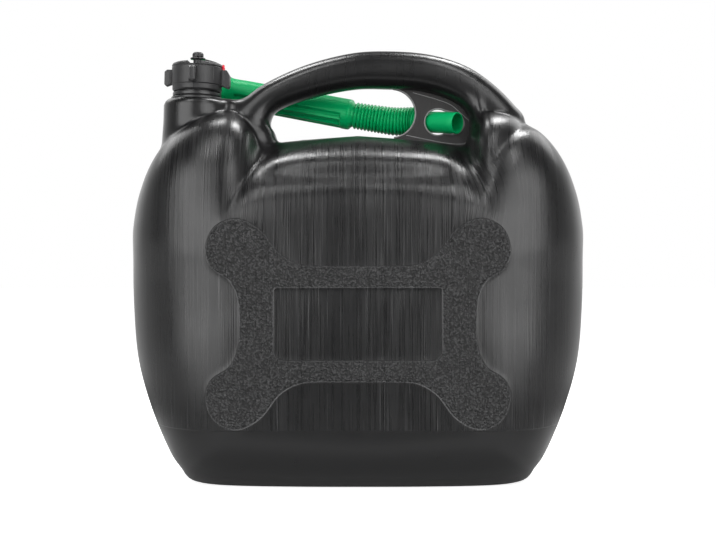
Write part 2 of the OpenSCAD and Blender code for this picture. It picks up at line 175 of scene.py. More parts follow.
# Materials
class Shader:
    def __init__(self, name):
        self.mat = bpy.data.materials.new(name)
        self.mat.use_nodes = True
        self.tree = self.mat.node_tree
        self.tree.nodes.clear()
        self.out = self.tree.nodes.new("ShaderNodeOutputMaterial")
        self.bsdf = self.tree.nodes.new("ShaderNodeBsdfPrincipled")
        self.tree.links.new(self.bsdf.outputs[0], self.out.inputs[0])
        self.coord = self.tree.nodes.new("ShaderNodeTexCoord").outputs["Object"]

    def put(self, socket, value):
        if hasattr(value, "links"):
            self.tree.links.new(value, socket)
        else:
            socket.default_value = value

    def node(self, kind, out=0, **inputs):
        n = self.tree.nodes.new(kind)
        for k, v in inputs.items():
            if k.startswith("_"):
                setattr(n, k[1:], v)
        for k, v in inputs.items():
            if not k.startswith("_"):
                key = int(k[1:]) if k[0] == "i" and k[1:].isdigit() else k.replace("__", " ")
                self.put(n.inputs[key], v)
        return n.outputs[out]

    def math(self, op, a, b=0.0, c=0.0, clamp=False):
        return self.node("ShaderNodeMath", _operation=op, _use_clamp=clamp, i0=a, i1=b, i2=c)

    def add(self, a, b, clamp=False):
        return self.math("ADD", a, b, clamp=clamp)

    def mul(self, a, b):
        return self.math("MULTIPLY", a, b)

    def axis(self, index):
        """One coordinate of the point: 0, 1 or 2 for x, y or z, in metres."""
        return self.node("ShaderNodeSeparateXYZ", index, Vector=self.coord)

    def scaled(self, vector, xyz):
        return self.node("ShaderNodeMapping", Vector=vector, Scale=xyz)

    def noise(self, vector, scale, detail=2.0, rough=0.5, distortion=0.0):
        return self.node(
            "ShaderNodeTexNoise", Vector=vector, Scale=scale, Detail=detail,
            Roughness=rough, Distortion=distortion,
        )

    def ramp(self, value, low, high, a=0.0, b=1.0):
        return self.node(
            "ShaderNodeMapRange", _interpolation_type="SMOOTHSTEP", Value=value,
            **{"From__Min": low, "From__Max": high, "To__Min": a, "To__Max": b},
        )

    def attribute(self, name):
        return self.node("ShaderNodeAttribute", 2, _attribute_name=name)

    def mix(self, factor, a, b):
        return self.node("ShaderNodeMix", 2, _data_type="RGBA", i0=factor, i6=a, i7=b)

    def bump(self, height, distance, strength=1.0):
        return self.node("ShaderNodeBump", Height=height, Distance=distance, Strength=strength)


# Marks on the tank's skin: how many to a metre, then the height of the step in metres
FINE_LINES, BROAD_LINES, SHEEN_STREAKS = 900.0, 260.0, 1300.0
GRAIN_CELLS, GRAIN_NOISE = 520.0, 600.0
STEP_Z = 0.054


def tank_material():
    s = Shader("tank_black")
    pad = s.attribute("pad")
    face = s.attribute("face")
    line = s.attribute("draw")
    # fine draw lines left by the parison, running down the sides
    wave = s.noise(s.scaled(s.coord, (9, 9, 0.6)), 1.0, 2.0)
    across = s.node("ShaderNodeCombineXYZ", X=s.add(line, s.mul(wave, 0.002)), Y=s.mul(s.axis(2), 0.006))
    fine = s.math("SUBTRACT", s.noise(across, FINE_LINES, 2.0, 0.75), 0.5)
    broad = s.math("SUBTRACT", s.noise(across, BROAD_LINES, 2.0, 0.6), 0.5)
    gate = s.ramp(s.noise(s.scaled(s.coord, (16, 16, 5)), 1.0, 3.0, 0.6), 0.42, 0.62, 0.55, 1.0)
    lines = s.mul(s.mul(s.add(fine, s.mul(broad, 0.6)), gate), face)
    # painted sheen: sparse thin streaks along the draw lines, coloured pale further down
    sheen_streak = s.ramp(s.noise(across, SHEEN_STREAKS, 1.0, 0.5), 0.66, 0.74)
    sheen_streak = s.mul(s.mul(sheen_streak, face), gate)
    # leather grain of the pads, with a thin raised rim, which is also coloured pale as a painted highlight
    inside = s.ramp(pad, -0.0006, 0.0004, 1.0, 0.0)
    smooth = s.math("SUBTRACT", 1.0, inside)
    rim_bump_and_highlight = s.mul(s.ramp(pad, -0.0014, -0.0002, 0.0, 1.0), s.ramp(pad, 0.0, 0.001, 1.0, 0.0))
    grain_at = s.scaled(s.coord, (1, 0.35, 1))
    cells = s.node("ShaderNodeTexVoronoi", 0, _feature="SMOOTH_F1", Vector=grain_at, Scale=GRAIN_CELLS,
                   Smoothness=0.6)
    grain = s.add(s.mul(cells, -0.8), s.noise(grain_at, GRAIN_NOISE, 3.0, 0.6))
    grain = s.mul(grain, inside)
    # the step low on the front and back, under which the faces are plain
    front = s.ramp(s.math("ABSOLUTE", s.axis(1)), 0.03, 0.05)
    step = s.mul(s.ramp(s.axis(2), STEP_Z - 0.0005, STEP_Z + 0.0005), s.mul(front, 0.4))
    height = s.add(s.mul(s.mul(lines, smooth), 0.26), s.mul(grain, 2.5))
    height = s.add(s.add(height, s.mul(rim_bump_and_highlight, 0.6)), step)
    s.put(s.bsdf.inputs["Normal"], s.bump(height, 0.001, 1.0))
    # colour: dark base with random mottling, made lighter along the draw lines as a painted sheen, painted
    # glints on the grain cells, and painted highlights as pale streaks along the draw lines and a pale line
    # on the pad's rim
    mottled = s.noise(s.coord, 55.0, 4.0, 0.6)
    # the draw lines lighten the base colour as a painted sheen; the mottling is random tone
    tone = s.add(s.add(s.mul(lines, 0.9), s.mul(mottled, 0.25)), 0.35, clamp=True)
    colour = s.mix(tone, (0.002, 0.002, 0.0022, 1), (0.009, 0.009, 0.0094, 1))
    # painted glints: the raised cells of the grain are coloured lighter
    grain_glint = s.mul(s.ramp(grain, 0.04, 0.3), inside)
    colour = s.mix(grain_glint, colour, (0.045, 0.045, 0.046, 1))
    # painted highlights: pale streaks along the draw lines and a pale line along the pad's rim
    painted_highlights = s.add(s.mul(s.mul(sheen_streak, smooth), 0.9), s.mul(rim_bump_and_highlight, 0.3))
    s.put(s.bsdf.inputs["Base Color"], s.mix(painted_highlights, colour, (0.075, 0.075, 0.077, 1)))
    rough = s.add(s.add(s.mul(lines, 0.45), s.mul(inside, 0.03)), s.mul(mottled, 0.08))
    s.put(s.bsdf.inputs["Roughness"], s.add(rough, 0.25))
    s.put(s.bsdf.inputs["Specular IOR Level"], 0.5)
    return s.mat


def plastic(name, dark, light, roughness, bump=0.02, scale=600.0, streak=None, spec=0.5):
    """Moulded plastic between two shades, with a fine bump of so many grains to a metre."""
    s = Shader(name)
    big = s.noise(s.coord, 40.0, 3.0, 0.6)
    small = s.noise(s.coord if streak is None else s.scaled(s.coord, streak), scale, 3.0, 0.6)
    tone = s.add(s.mul(big, 0.7), s.mul(small, 0.3))
    s.put(s.bsdf.inputs["Base Color"], s.mix(tone, (*dark, 1), (*light, 1)))
    s.put(s.bsdf.inputs["Roughness"], s.add(s.mul(small, 0.14), roughness - 0.07))
    s.put(s.bsdf.inputs["Normal"], s.bump(small, bump * MM * 10, 0.5))
    s.put(s.bsdf.inputs["Specular IOR Level"], spec)
    return s.mat


def spout_material():
    s = Shader("spout_green")
    big = s.noise(s.coord, 30.0, 3.0, 0.6)
    small = s.noise(s.coord, 500.0, 2.0, 0.6)
    s.put(s.bsdf.inputs["Base Color"], s.mix(big, (0.0, 0.27, 0.075, 1), (0.001, 0.35, 0.115, 1)))
    s.put(s.bsdf.inputs["Roughness"], s.add(s.mul(small, 0.1), 0.3))
    s.put(s.bsdf.inputs["Normal"], s.bump(small, 0.0001, 0.4))
    s.put(s.bsdf.inputs["Specular IOR Level"], 0.4)
    s.put(s.bsdf.inputs["Specular Tint"], (0.3, 1.0, 0.55, 1))
    return s.mat


TANK_MAT = tank_material()
# pale grey beads on the black web: a painted highlight along its lips
LIP_HIGHLIGHT_MAT = plastic("lip_painted_highlight", (0.12, 0.12, 0.12), (0.2, 0.2, 0.2), 0.35, scale=700.0)
WEB_MAT = plastic("web_black", (0.008, 0.0075, 0.0075), (0.018, 0.017, 0.017), 0.5, bump=0.05, scale=900.0,
                  streak=(1, 0.2, 0.12), spec=0.35)
CAP_MAT = plastic("cap_black", (0.011, 0.011, 0.0115), (0.022, 0.022, 0.023), 0.46, scale=600.0)
STRAP_MAT = plastic("strap_black", (0.009, 0.009, 0.0095), (0.02, 0.02, 0.021), 0.32, scale=500.0)
SEAL_MAT = plastic("seal_grey", (0.2, 0.2, 0.19), (0.3, 0.3, 0.29), 0.7, bump=0.03, scale=700.0)
RED_MAT = plastic("lever_red", (0.72, 0.012, 0.035), (0.9, 0.03, 0.06), 0.33, bump=0.01, scale=500.0)
SPOUT_MAT = spout_material()


# Tank: one blown skin
OUTLINE = [
    (0, -DIP), (110, -DIP), (152, -1), (HALF_W - 46, 12), (HALF_W - 35, 28), (HALF_W - 17.5, 68),
    (HALF_W - 5, 112), (HALF_W - 0.5, 160), (HALF_W + 0.3, 210), (HALF_W - 2, 242),
    (HALF_W - 17, BODY_H - 45), (HALF_W - 62, BODY_H - 21), (HALF_W - 132, BODY_H - 7), (0, BODY_H),
]
CROWN_X, CROWN_T, CROWN_D = 26.0, HANDLE_T / 2, HANDLE_D / 2
CROWN_Z = HANDLE_TOP - CROWN_T
HANDLE_LINE = [
    (NECK_X + 52, BODY_H - 30, CROWN_T + 14, CROWN_D + 9),
    (NECK_X + 52, BODY_H - 2, CROWN_T + 6, CROWN_D + 5),
    (NECK_X + 51.5, BODY_H + 9, CROWN_T - 0.2, CROWN_D + 3),
    (NECK_X + 54, CROWN_Z - 42, CROWN_T - 1.7, CROWN_D + 1),
    (NECK_X + 71, CROWN_Z - 25.6, CROWN_T - 3.8, CROWN_D),
    (CROWN_X - 71.7, CROWN_Z - 10.6, CROWN_T - 2.2, CROWN_D),
    (CROWN_X - 32, CROWN_Z - 1.4, CROWN_T - 0.8, CROWN_D),
    (CROWN_X, CROWN_Z, CROWN_T, CROWN_D),
    (CROWN_X + 37, CROWN_Z - 2.7, CROWN_T, CROWN_D),
    (CROWN_X + 68.2, CROWN_Z - 12.1, CROWN_T, CROWN_D),
    (CROWN_X + 91, CROWN_Z - 27.4, CROWN_T, CROWN_D + 1),
    (CROWN_X + 109, CROWN_Z - 45.4, CROWN_T, CROWN_D + 3),
    (CROWN_X + 121.2, CROWN_Z - 62.1, CROWN_T + 1, CROWN_D + 6),
    (CROWN_X + 126, BODY_H - 36, CROWN_T + 2, CROWN_D + 8),
]


def even(g, h):
    """Turns an implicit function on the grid into a distance near its surface."""
    gx, gy, gz = np.gradient(g, h)
    return g / np.maximum(np.sqrt(gx * gx + gy * gy + gz * gz), 1e-4)


def pillow_field(x, y, z, h):
    side = smooth_line(OUTLINE, 12)
    u = np.degrees(np.arctan2(side[:, 1] - HEART_Z, side[:, 0]))
    r = np.hypot(side[:, 0], side[:, 1] - HEART_Z)
    a = np.degrees(np.arctan2(z - HEART_Z, np.abs(x)))
    reach = np.interp(a, u, r)
    rho = np.hypot(x, z - HEART_Z)
    down = np.maximum(0, -np.sin(np.radians(a))) ** 2
    up = np.maximum(0, np.sin(np.radians(a))) ** 2
    round_in = 115 + (75 - 115) * up + (58 - 115) * down
    p = 2 * (1 + 0.5 * down)
    c = np.maximum(0, 1 - (reach - rho) / round_in)
    g = (c**p + (np.abs(y) / HALF_D) ** p) ** (1 / p) - 1
    return even(g, h)


def dome_field(x, y, z, h, side, reach_in):
    cx = (x * side) - (HALF_W - 90)
    across = np.where(cx > 0, 87.0, reach_in)
    g = np.sqrt((cx / across) ** 2 + (np.abs(y) / 80) ** 2.5 + ((z - 235) / 111) ** 2) - 1
    return even(g, h)


SADDLE_LINE = [
    (NECK_X + 8, NECK_Z - 17.6, 16, 15),
    (NECK_X + 30, NECK_Z - 17, 17.4, 15.5),
    (NECK_X + 52, NECK_Z - 19, 17, 17),
]


def handle_field(x, y, z, h, points=HANDLE_LINE):
    line = smooth_line(points, 8)
    px, pz = x[:, 0, :], z[:, 0, :]
    best = np.full(px.shape, 1e9)
    t_at, d_at = np.ones_like(px), np.ones_like(px)
    for a, b in zip(line[:-1], line[1:]):
        d = b[:2] - a[:2]
        s = np.clip(((px - a[0]) * d[0] + (pz - a[1]) * d[1]) / (d @ d), 0, 1)
        dist = np.hypot(px - a[0] - s * d[0], pz - a[1] - s * d[1])
        near = dist < best
        best = np.where(near, dist, best)
        t_at = np.where(near, a[2] + s * (b[2] - a[2]), t_at)
        d_at = np.where(near, a[3] + s * (b[3] - a[3]), d_at)
    p = 2.33
    n = (best / t_at)[:, None, :]
    g = (n**p + (np.abs(y) / d_at[:, None, :]) ** p) ** (1 / p) - 1
    return even(g, h)


def collar_field(x, y, z):
    inv = NECK.inverted()
    u = inv[0][0] * x + inv[0][1] * y + inv[0][2] * z + inv[0][3]
    v = inv[1][0] * x + inv[1][1] * y + inv[1][2] * z + inv[1][3]
    w = inv[2][0] * x + inv[2][1] * y + inv[2][2] * z + inv[2][3]
    rho = np.hypot(u, v)
    flare = np.clip((-w - 22) / 40, 0, 1) * 2
    q = rho - (COLLAR_R + flare - 8)
    top = w + 8
    outer = np.hypot(np.maximum(q, 0), np.maximum(top, 0)) + np.minimum(np.maximum(q, top), 0) - 8
    outer = np.maximum(outer, -66 - w)
    well = np.maximum(rho - BORE_R, -20 - w)
    return outer, well


# Folds between the body and its two shoulders: x, z, depth and width
CREASES = (
    [(-68, 318, 9, 9), (-76, 310, 9.5, 9), (-85, 301, 9, 9), (-96, 287, 7.5, 9), (-105, 271, 5.5, 9),
     (-112, 256, 3, 8), (-120, 240, 0, 8)],
    [(92, 312, 8, 10), (98, 300, 8, 10), (104, 287, 6.5, 10), (110, 273, 4.5, 10), (115, 259, 2, 9),
     (119, 244, 0, 9)],
)
SEAT_FOLD = [(168, 342, 3, 5), (159, 335, 5, 6), (147, 326, 6, 7), (135, 314, 6, 8), (125, 299, 4.5, 8),
             (118, 283, 2.5, 8), (115, 268, 0, 8)]


def creases(px, pz, lines=CREASES):
    depth = np.zeros_like(px)
    for line in lines:
        line = smooth_line(line, 6)
        best = np.full(px.shape, 1e9)
        deep, wide = np.zeros_like(px), np.ones_like(px)
        for a, b in zip(line[:-1], line[1:]):
            d = b[:2] - a[:2]
            s = np.clip(((px - a[0]) * d[0] + (pz - a[1]) * d[1]) / (d @ d), 0, 1)
            dist = np.hypot(px - a[0] - s * d[0], pz - a[1] - s * d[1])
            near = dist < best
            best = np.where(near, dist, best)
            deep = np.where(near, a[2] + s * (b[2] - a[2]), deep)
            wide = np.where(near, a[3] + s * (b[3] - a[3]), wide)
        depth = depth + deep * np.exp(-(np.sqrt(best**2 + 2) - 1.4) / wide)
    return depth


def pad_outline():
    q = [(0, 50.7), (34, 50.7), (53, 52.5), (70, 62.5), (86.7, 83.1), (107.5, 92.8), (126.7, 85),
         (134.5, 65.8), (129.1, 49.6), (113, 38), (105.5, 22), (104, 0)]
    side = smooth_line(q, 8)
    n = len(side)
    points = [side[i] for i in range(n - 1)]
    points += [side[i] * (1, -1) for i in range(n - 1, 0, -1)]
    points += [side[i] * (-1, -1) for i in range(n - 1)]
    points += [side[i] * (-1, 1) for i in range(n - 1, 0, -1)]
    return np.array(points) + (0, PAD_Z)


def outline_distance(px, pz, points):
    best = np.full(px.shape, 1e9)
    inside = np.zeros(px.shape, bool)
    for a, b in zip(points, np.roll(points, -1, axis=0)):
        d = b - a
        s = np.clip(((px - a[0]) * d[0] + (pz - a[1]) * d[1]) / max(d @ d, 1e-9), 0, 1)
        best = np.minimum(best, np.hypot(px - a[0] - s * d[0], pz - a[1] - s * d[1]))
        if a[1] != b[1]:
            cross = (a[1] > pz) != (b[1] > pz)
            inside ^= cross & (px < (b[0] - a[0]) * (pz - a[1]) / (b[1] - a[1]) + a[0])
    return np.where(inside, -best, best)


def pad_distance(px, pz):
    """Below 0 on the grained pad: inside its outline and outside its window."""
    pad = outline_distance(px, pz, pad_outline())
    wx, wz = np.abs(px), pz - PAD_Z
    r = np.where(wz < 0, 11.0, 3.0)
    qx, qz = wx - (75 - r), np.abs(wz) - (32.5 - r)
    window = np.hypot(np.maximum(qx, 0), np.maximum(qz, 0)) + np.minimum(np.maximum(qx, qz), 0) - r
    return np.maximum(pad, -window)


def tank_skin():
    h = 2.5
    low = np.array([-221.0, -96.0, -8.0])
    high = np.array([221.0, 96.0, 412.0])
    count = np.ceil((high - low) / h).astype(int) + 1
    axes = [low[i] + h * np.arange(count[i]) for i in range(3)]
    x, y, z = np.meshgrid(*axes, indexing="ij")
    d = pillow_field(x, y, z, h)
    left = dome_field(x, y, z, h, -1, 45.0)
    right = dome_field(x, y, z, h, 1, 29.0)
    d = blend_min(d, left, 7.0)
    d = blend_min(d, right, 7.0)
    wave = 1.0 * np.exp(-(((z - 299) / 9) ** 2)) - 2.4 * np.exp(-(((z - 280) / 9) ** 2))
    d = d - wave * smooth_step(np.abs(y), 20, 50) * (1 - smooth_step(np.abs(x), 70, 100))
    cut = creases(x[:, 0, :], z[:, 0, :])[:, None, :] * smooth_step(np.abs(y), 8, 45)
    d = d + cut
    fold = creases(x[:, 0, :], z[:, 0, :], [SEAT_FOLD])[:, None, :]
    collar, well = collar_field(x, y, z)
    bridge = blend_min(collar, handle_field(x, y, z, h, SADDLE_LINE), 5.0)
    bridge = blend_min(bridge, handle_field(x, y, z, h), 7.0)
    # the pocket behind the outlet has a round end
    d = blend_min(d, bridge, 4.0 + 16.0 * smooth_step(x, 84, 104) * (1 - smooth_step(x, 112, 122)))
    d = d + fold * 0.75
    d = blend_max(d, -z, 3.0)
    recess = np.maximum(np.maximum(np.abs(x) - 107, np.abs(y) - 38), z - 2.5)
    d = blend_max(d, -recess, 2.0)
    pad2 = pad_distance(x[:, 0, :], z[:, 0, :])[:, None, :]
    d = d - 0.8 * smooth_step(-pad2, -1.2, 1.2) * smooth_step(np.abs(y), 35, 50)
    d = np.maximum(d, -well)
    grid = openvdb.FloatGrid(3.0 * h)
    grid.copyFromArray(np.clip(d, -3 * h, 3 * h).astype(np.float32))
    points, quads = grid.convertToQuads()
    points = points.astype(float) * h + low
    # two steps onto the exact surface
    for _ in range(2):
        f = np.clip((points - low) / h, 0, np.array(count) - 1.001)
        i = f.astype(int)
        t = f - i
        value = np.zeros(len(points))
        slope = np.zeros((len(points), 3))
        for cx in (0, 1):
            for cy in (0, 1):
                for cz in (0, 1):
                    c = d[i[:, 0] + cx, i[:, 1] + cy, i[:, 2] + cz]
                    wx = t[:, 0] if cx else 1 - t[:, 0]
                    wy = t[:, 1] if cy else 1 - t[:, 1]
                    wz = t[:, 2] if cz else 1 - t[:, 2]
                    value += c * wx * wy * wz
                    slope[:, 0] += c * (1 if cx else -1) * wy * wz
                    slope[:, 1] += c * (1 if cy else -1) * wx * wz
                    slope[:, 2] += c * (1 if cz else -1) * wx * wy
        slope /= h
        size = np.maximum((slope**2).sum(1), 0.25)
        step = np.clip(value, -h, h)[:, None] * slope / size[:, None]
        points -= np.where(np.abs(value)[:, None] < h, step, 0)
    obj = add_mesh("tank_skin", points, quads[:, ::-1], TANK_MAT, "can")
    write_tank_fields(obj)
    return obj


def write_tank_fields(obj):
    n = len(obj.data.vertices)
    co = np.zeros(n * 3, np.float32)
    obj.data.vertices.foreach_get("co", co)
    co = co.reshape(-1, 3).astype(float) * 1000
    x, y, z = co.T
    pad = np.where(np.abs(y) > 35, pad_distance(x, z), 50.0)
    # where the draw lines show: on the faces and over the top, weaker low down and at the ends
    show = smooth_step(np.abs(y), 25, 55) * smooth_step(z, 53, 56)
    show = show * (1 - 0.85 * smooth_step(np.abs(x), 160, 200))
    top = smooth_step(z, 318, 352) * 0.3
    # the lines fan out round the folds at the handle's feet
    bent = x + 10 * np.exp(-(((x - 118) / 26) ** 2) - ((z - 285) / 36) ** 2) * (z - 285) / 20
    for name, values in (("pad", pad * MM), ("face", np.maximum(show, top)), ("draw", bent * MM)):
        a = obj.data.attributes.new(name, "FLOAT", "POINT")
        a.data.foreach_set("value", np.asarray(values, np.float32))


tank = tank_skin()
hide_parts("tank")


def to_world(points, y=0.0):
    return [(p[0], y, p[1]) for p in points]


def curve_plate(name, loops, thickness, edge, material, body):
    """Flat plate in the X-Z plane from closed outlines, the holes among them, with soft edges."""
    data = bpy.data.curves.new(name, "CURVE")
    data.dimensions = "2D"
    data.fill_mode = "BOTH"
    data.extrude = (thickness / 2 - edge) * MM
    data.bevel_depth = edge * MM
    data.bevel_resolution = 2
    for loop in loops:
        s = data.splines.new("POLY")
        s.points.add(len(loop) - 1)
        for p, q in zip(s.points, loop):
            p.co = (q[0] * MM, q[1] * MM, 0, 1)
        s.use_cyclic_u = True
    obj = bpy.data.objects.new(name, data)
    scene.collection.objects.link(obj)
    obj.matrix_world = Matrix.Rotation(math.radians(90), 4, "X")
    bpy.context.view_layer.update()
    mesh = bpy.data.meshes.new_from_object(obj.evaluated_get(bpy.context.evaluated_depsgraph_get()))
    mesh.transform(obj.matrix_world)
    bpy.data.objects.remove(obj)
    made = bpy.data.objects.new(name, mesh)
    scene.collection.objects.link(made)
    mesh.materials.clear()
    mesh.materials.append(material)
    mesh.shade_smooth()
    sharpen(made, 50)
    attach(made, body)
    return made


def tube(name, points, radius, material, body, n=12, closed=False):
    """Round bead along a line in millimetres."""
    pts = [np.array(p, float) for p in points]
    m = len(pts)
    verts = []
    for i, p in enumerate(pts):
        a = pts[(i - 1) % m] if closed or i else p
        b = pts[(i + 1) % m] if closed or i < m - 1 else p
        t = (b - a) / max(np.linalg.norm(b - a), 1e-9)
        u = np.cross(t, (0, 1, 0)) if abs(t[1]) < 0.9 else np.cross(t, (1, 0, 0))
        u /= np.linalg.norm(u)
        v = np.cross(t, u)
        for j in range(n):
            w = 2 * math.pi * j / n
            verts.append(p + radius * (math.cos(w) * u + math.sin(w) * v))
    return add_mesh(name, verts, rings_to_faces(m, n, not closed, closed), material, body)


# Web with the hole that holds the outlet
GRIP = (31.4, (BODY_H + HANDLE_TOP - HANDLE_T) / 2 - 0.6, 23.2)
TIP_R = 10.2
SLOT_R = TIP_R + 0.35
SLOT_HALF = TIP_R / math.sin(TIP_TURN) + WEB_T / 2 / math.tan(TIP_TURN) + 0.3
SLOT_LEAN = math.atan(0.1 / math.cos(TIP_TURN))


def arc(cx, cz, r, a0, a1, n):
    return [(cx + r * math.cos(math.radians(a0 + (a1 - a0) * k / n)),
             cz + r * math.sin(math.radians(a0 + (a1 - a0) * k / n))) for k in range(n + 1)]


grip_arc = arc(GRIP[0], GRIP[1], GRIP[2], -82, 84, 40)
web_outline = [(GRIP[0] + 4, BODY_H - 12)] + grip_arc + [
    (CROWN_X + 12, CROWN_Z - 6), (CROWN_X + 68, CROWN_Z - 16), (CROWN_X + 106, CROWN_Z - 47),
    (CROWN_X + 106, BODY_H - 30), (GRIP[0] + 50, BODY_H - 20)]
left = arc(75.8, TIP_AT[2] + 0.4, 12.65, 62, 298, 34)
right_x = TIP_AT[0] + (SLOT_HALF - SLOT_R) * math.cos(SLOT_LEAN)
right_z = TIP_AT[2] - (SLOT_HALF - SLOT_R) * math.sin(SLOT_LEAN)
right = arc(right_x, right_z, SLOT_R, -90, 90, 20)
web_hole = left + right
curve_plate("tank_web", [web_outline, web_hole], WEB_T, 0.5, WEB_MAT, "can")
# Thin lips along the grip, round the hole and along the pocket, on both faces of the web, coloured pale
# grey as a painted highlight
WEB_FACES = ((-1, "front"), (1, "back"))
for side, face_name in WEB_FACES:
    tube(f"web_lip_{face_name}", to_world(grip_arc, side * 1.3), 0.75, LIP_HIGHLIGHT_MAT, "can")
    tube(f"hole_lip_{face_name}", to_world(web_hole, side * 1.35), 0.7, LIP_HIGHLIGHT_MAT, "can", closed=True)

pocket = smooth_line([(52, 364.5), (73, 358.5), (88, 352.8), (99.5, 343), (109, 334.5), (111.8, 328.5),
                      (110.3, 322.5), (104.5, 317.8), (97, 315.6), (82, 316.8), (64, 320.2), (46, 324)], 6)
for side, face_name in WEB_FACES:
    tube(f"pocket_lip_{face_name}", to_world(pocket, side * 1.35), 0.45, LIP_HIGHLIGHT_MAT, "can")

# Neck: flange and threaded tube under the cap
neck_profile = round_profile([
    (BORE_R, -18), (BORE_R, NECK_TOP), (NECK_R - 0.6, NECK_TOP), (NECK_R, NECK_TOP - 0.7),
    (NECK_R, 6.8), (NECK_R, 1.6),
    (24, 1.6), (24.3, 0.4), (24.3, -1.5), (BORE_R, -1.5)], 0.5)
verts, faces = [], []
n = 96
for r, zz in neck_profile:
    for j in range(n):
        verts.append((r * math.cos(2 * math.pi * j / n), r * math.sin(2 * math.pi * j / n), zz))
faces = rings_to_faces(len(neck_profile), n)
neck = add_mesh("tank_neck", verts, faces, STRAP_MAT, "can", NECK)
sharpen(neck)
turns, lead = 2.75, 5.0
thread = []
for k in range(int(turns * 48) + 1):
    a = 2 * math.pi * k / 48
    grow = min(1, k / 10, (turns * 48 - k) / 10)
    thread.append((a, 9.0 + lead * a / (2 * math.pi), 0.15 + 0.85 * grow))
verts = []
for a, zz, g in thread:
    crest, root = NECK_R + 0.95 * g, NECK_R - 0.4
    for r, dz in ((root, -1.1), (crest, -0.35), (crest, 0.35), (root, 1.1)):
        verts.append((r * math.cos(a), r * math.sin(a), zz + dz))
ridge = add_mesh("neck_thread", verts, rings_to_faces(len(thread), 4, True), STRAP_MAT, "can", NECK)
sharpen(ridge, 30)


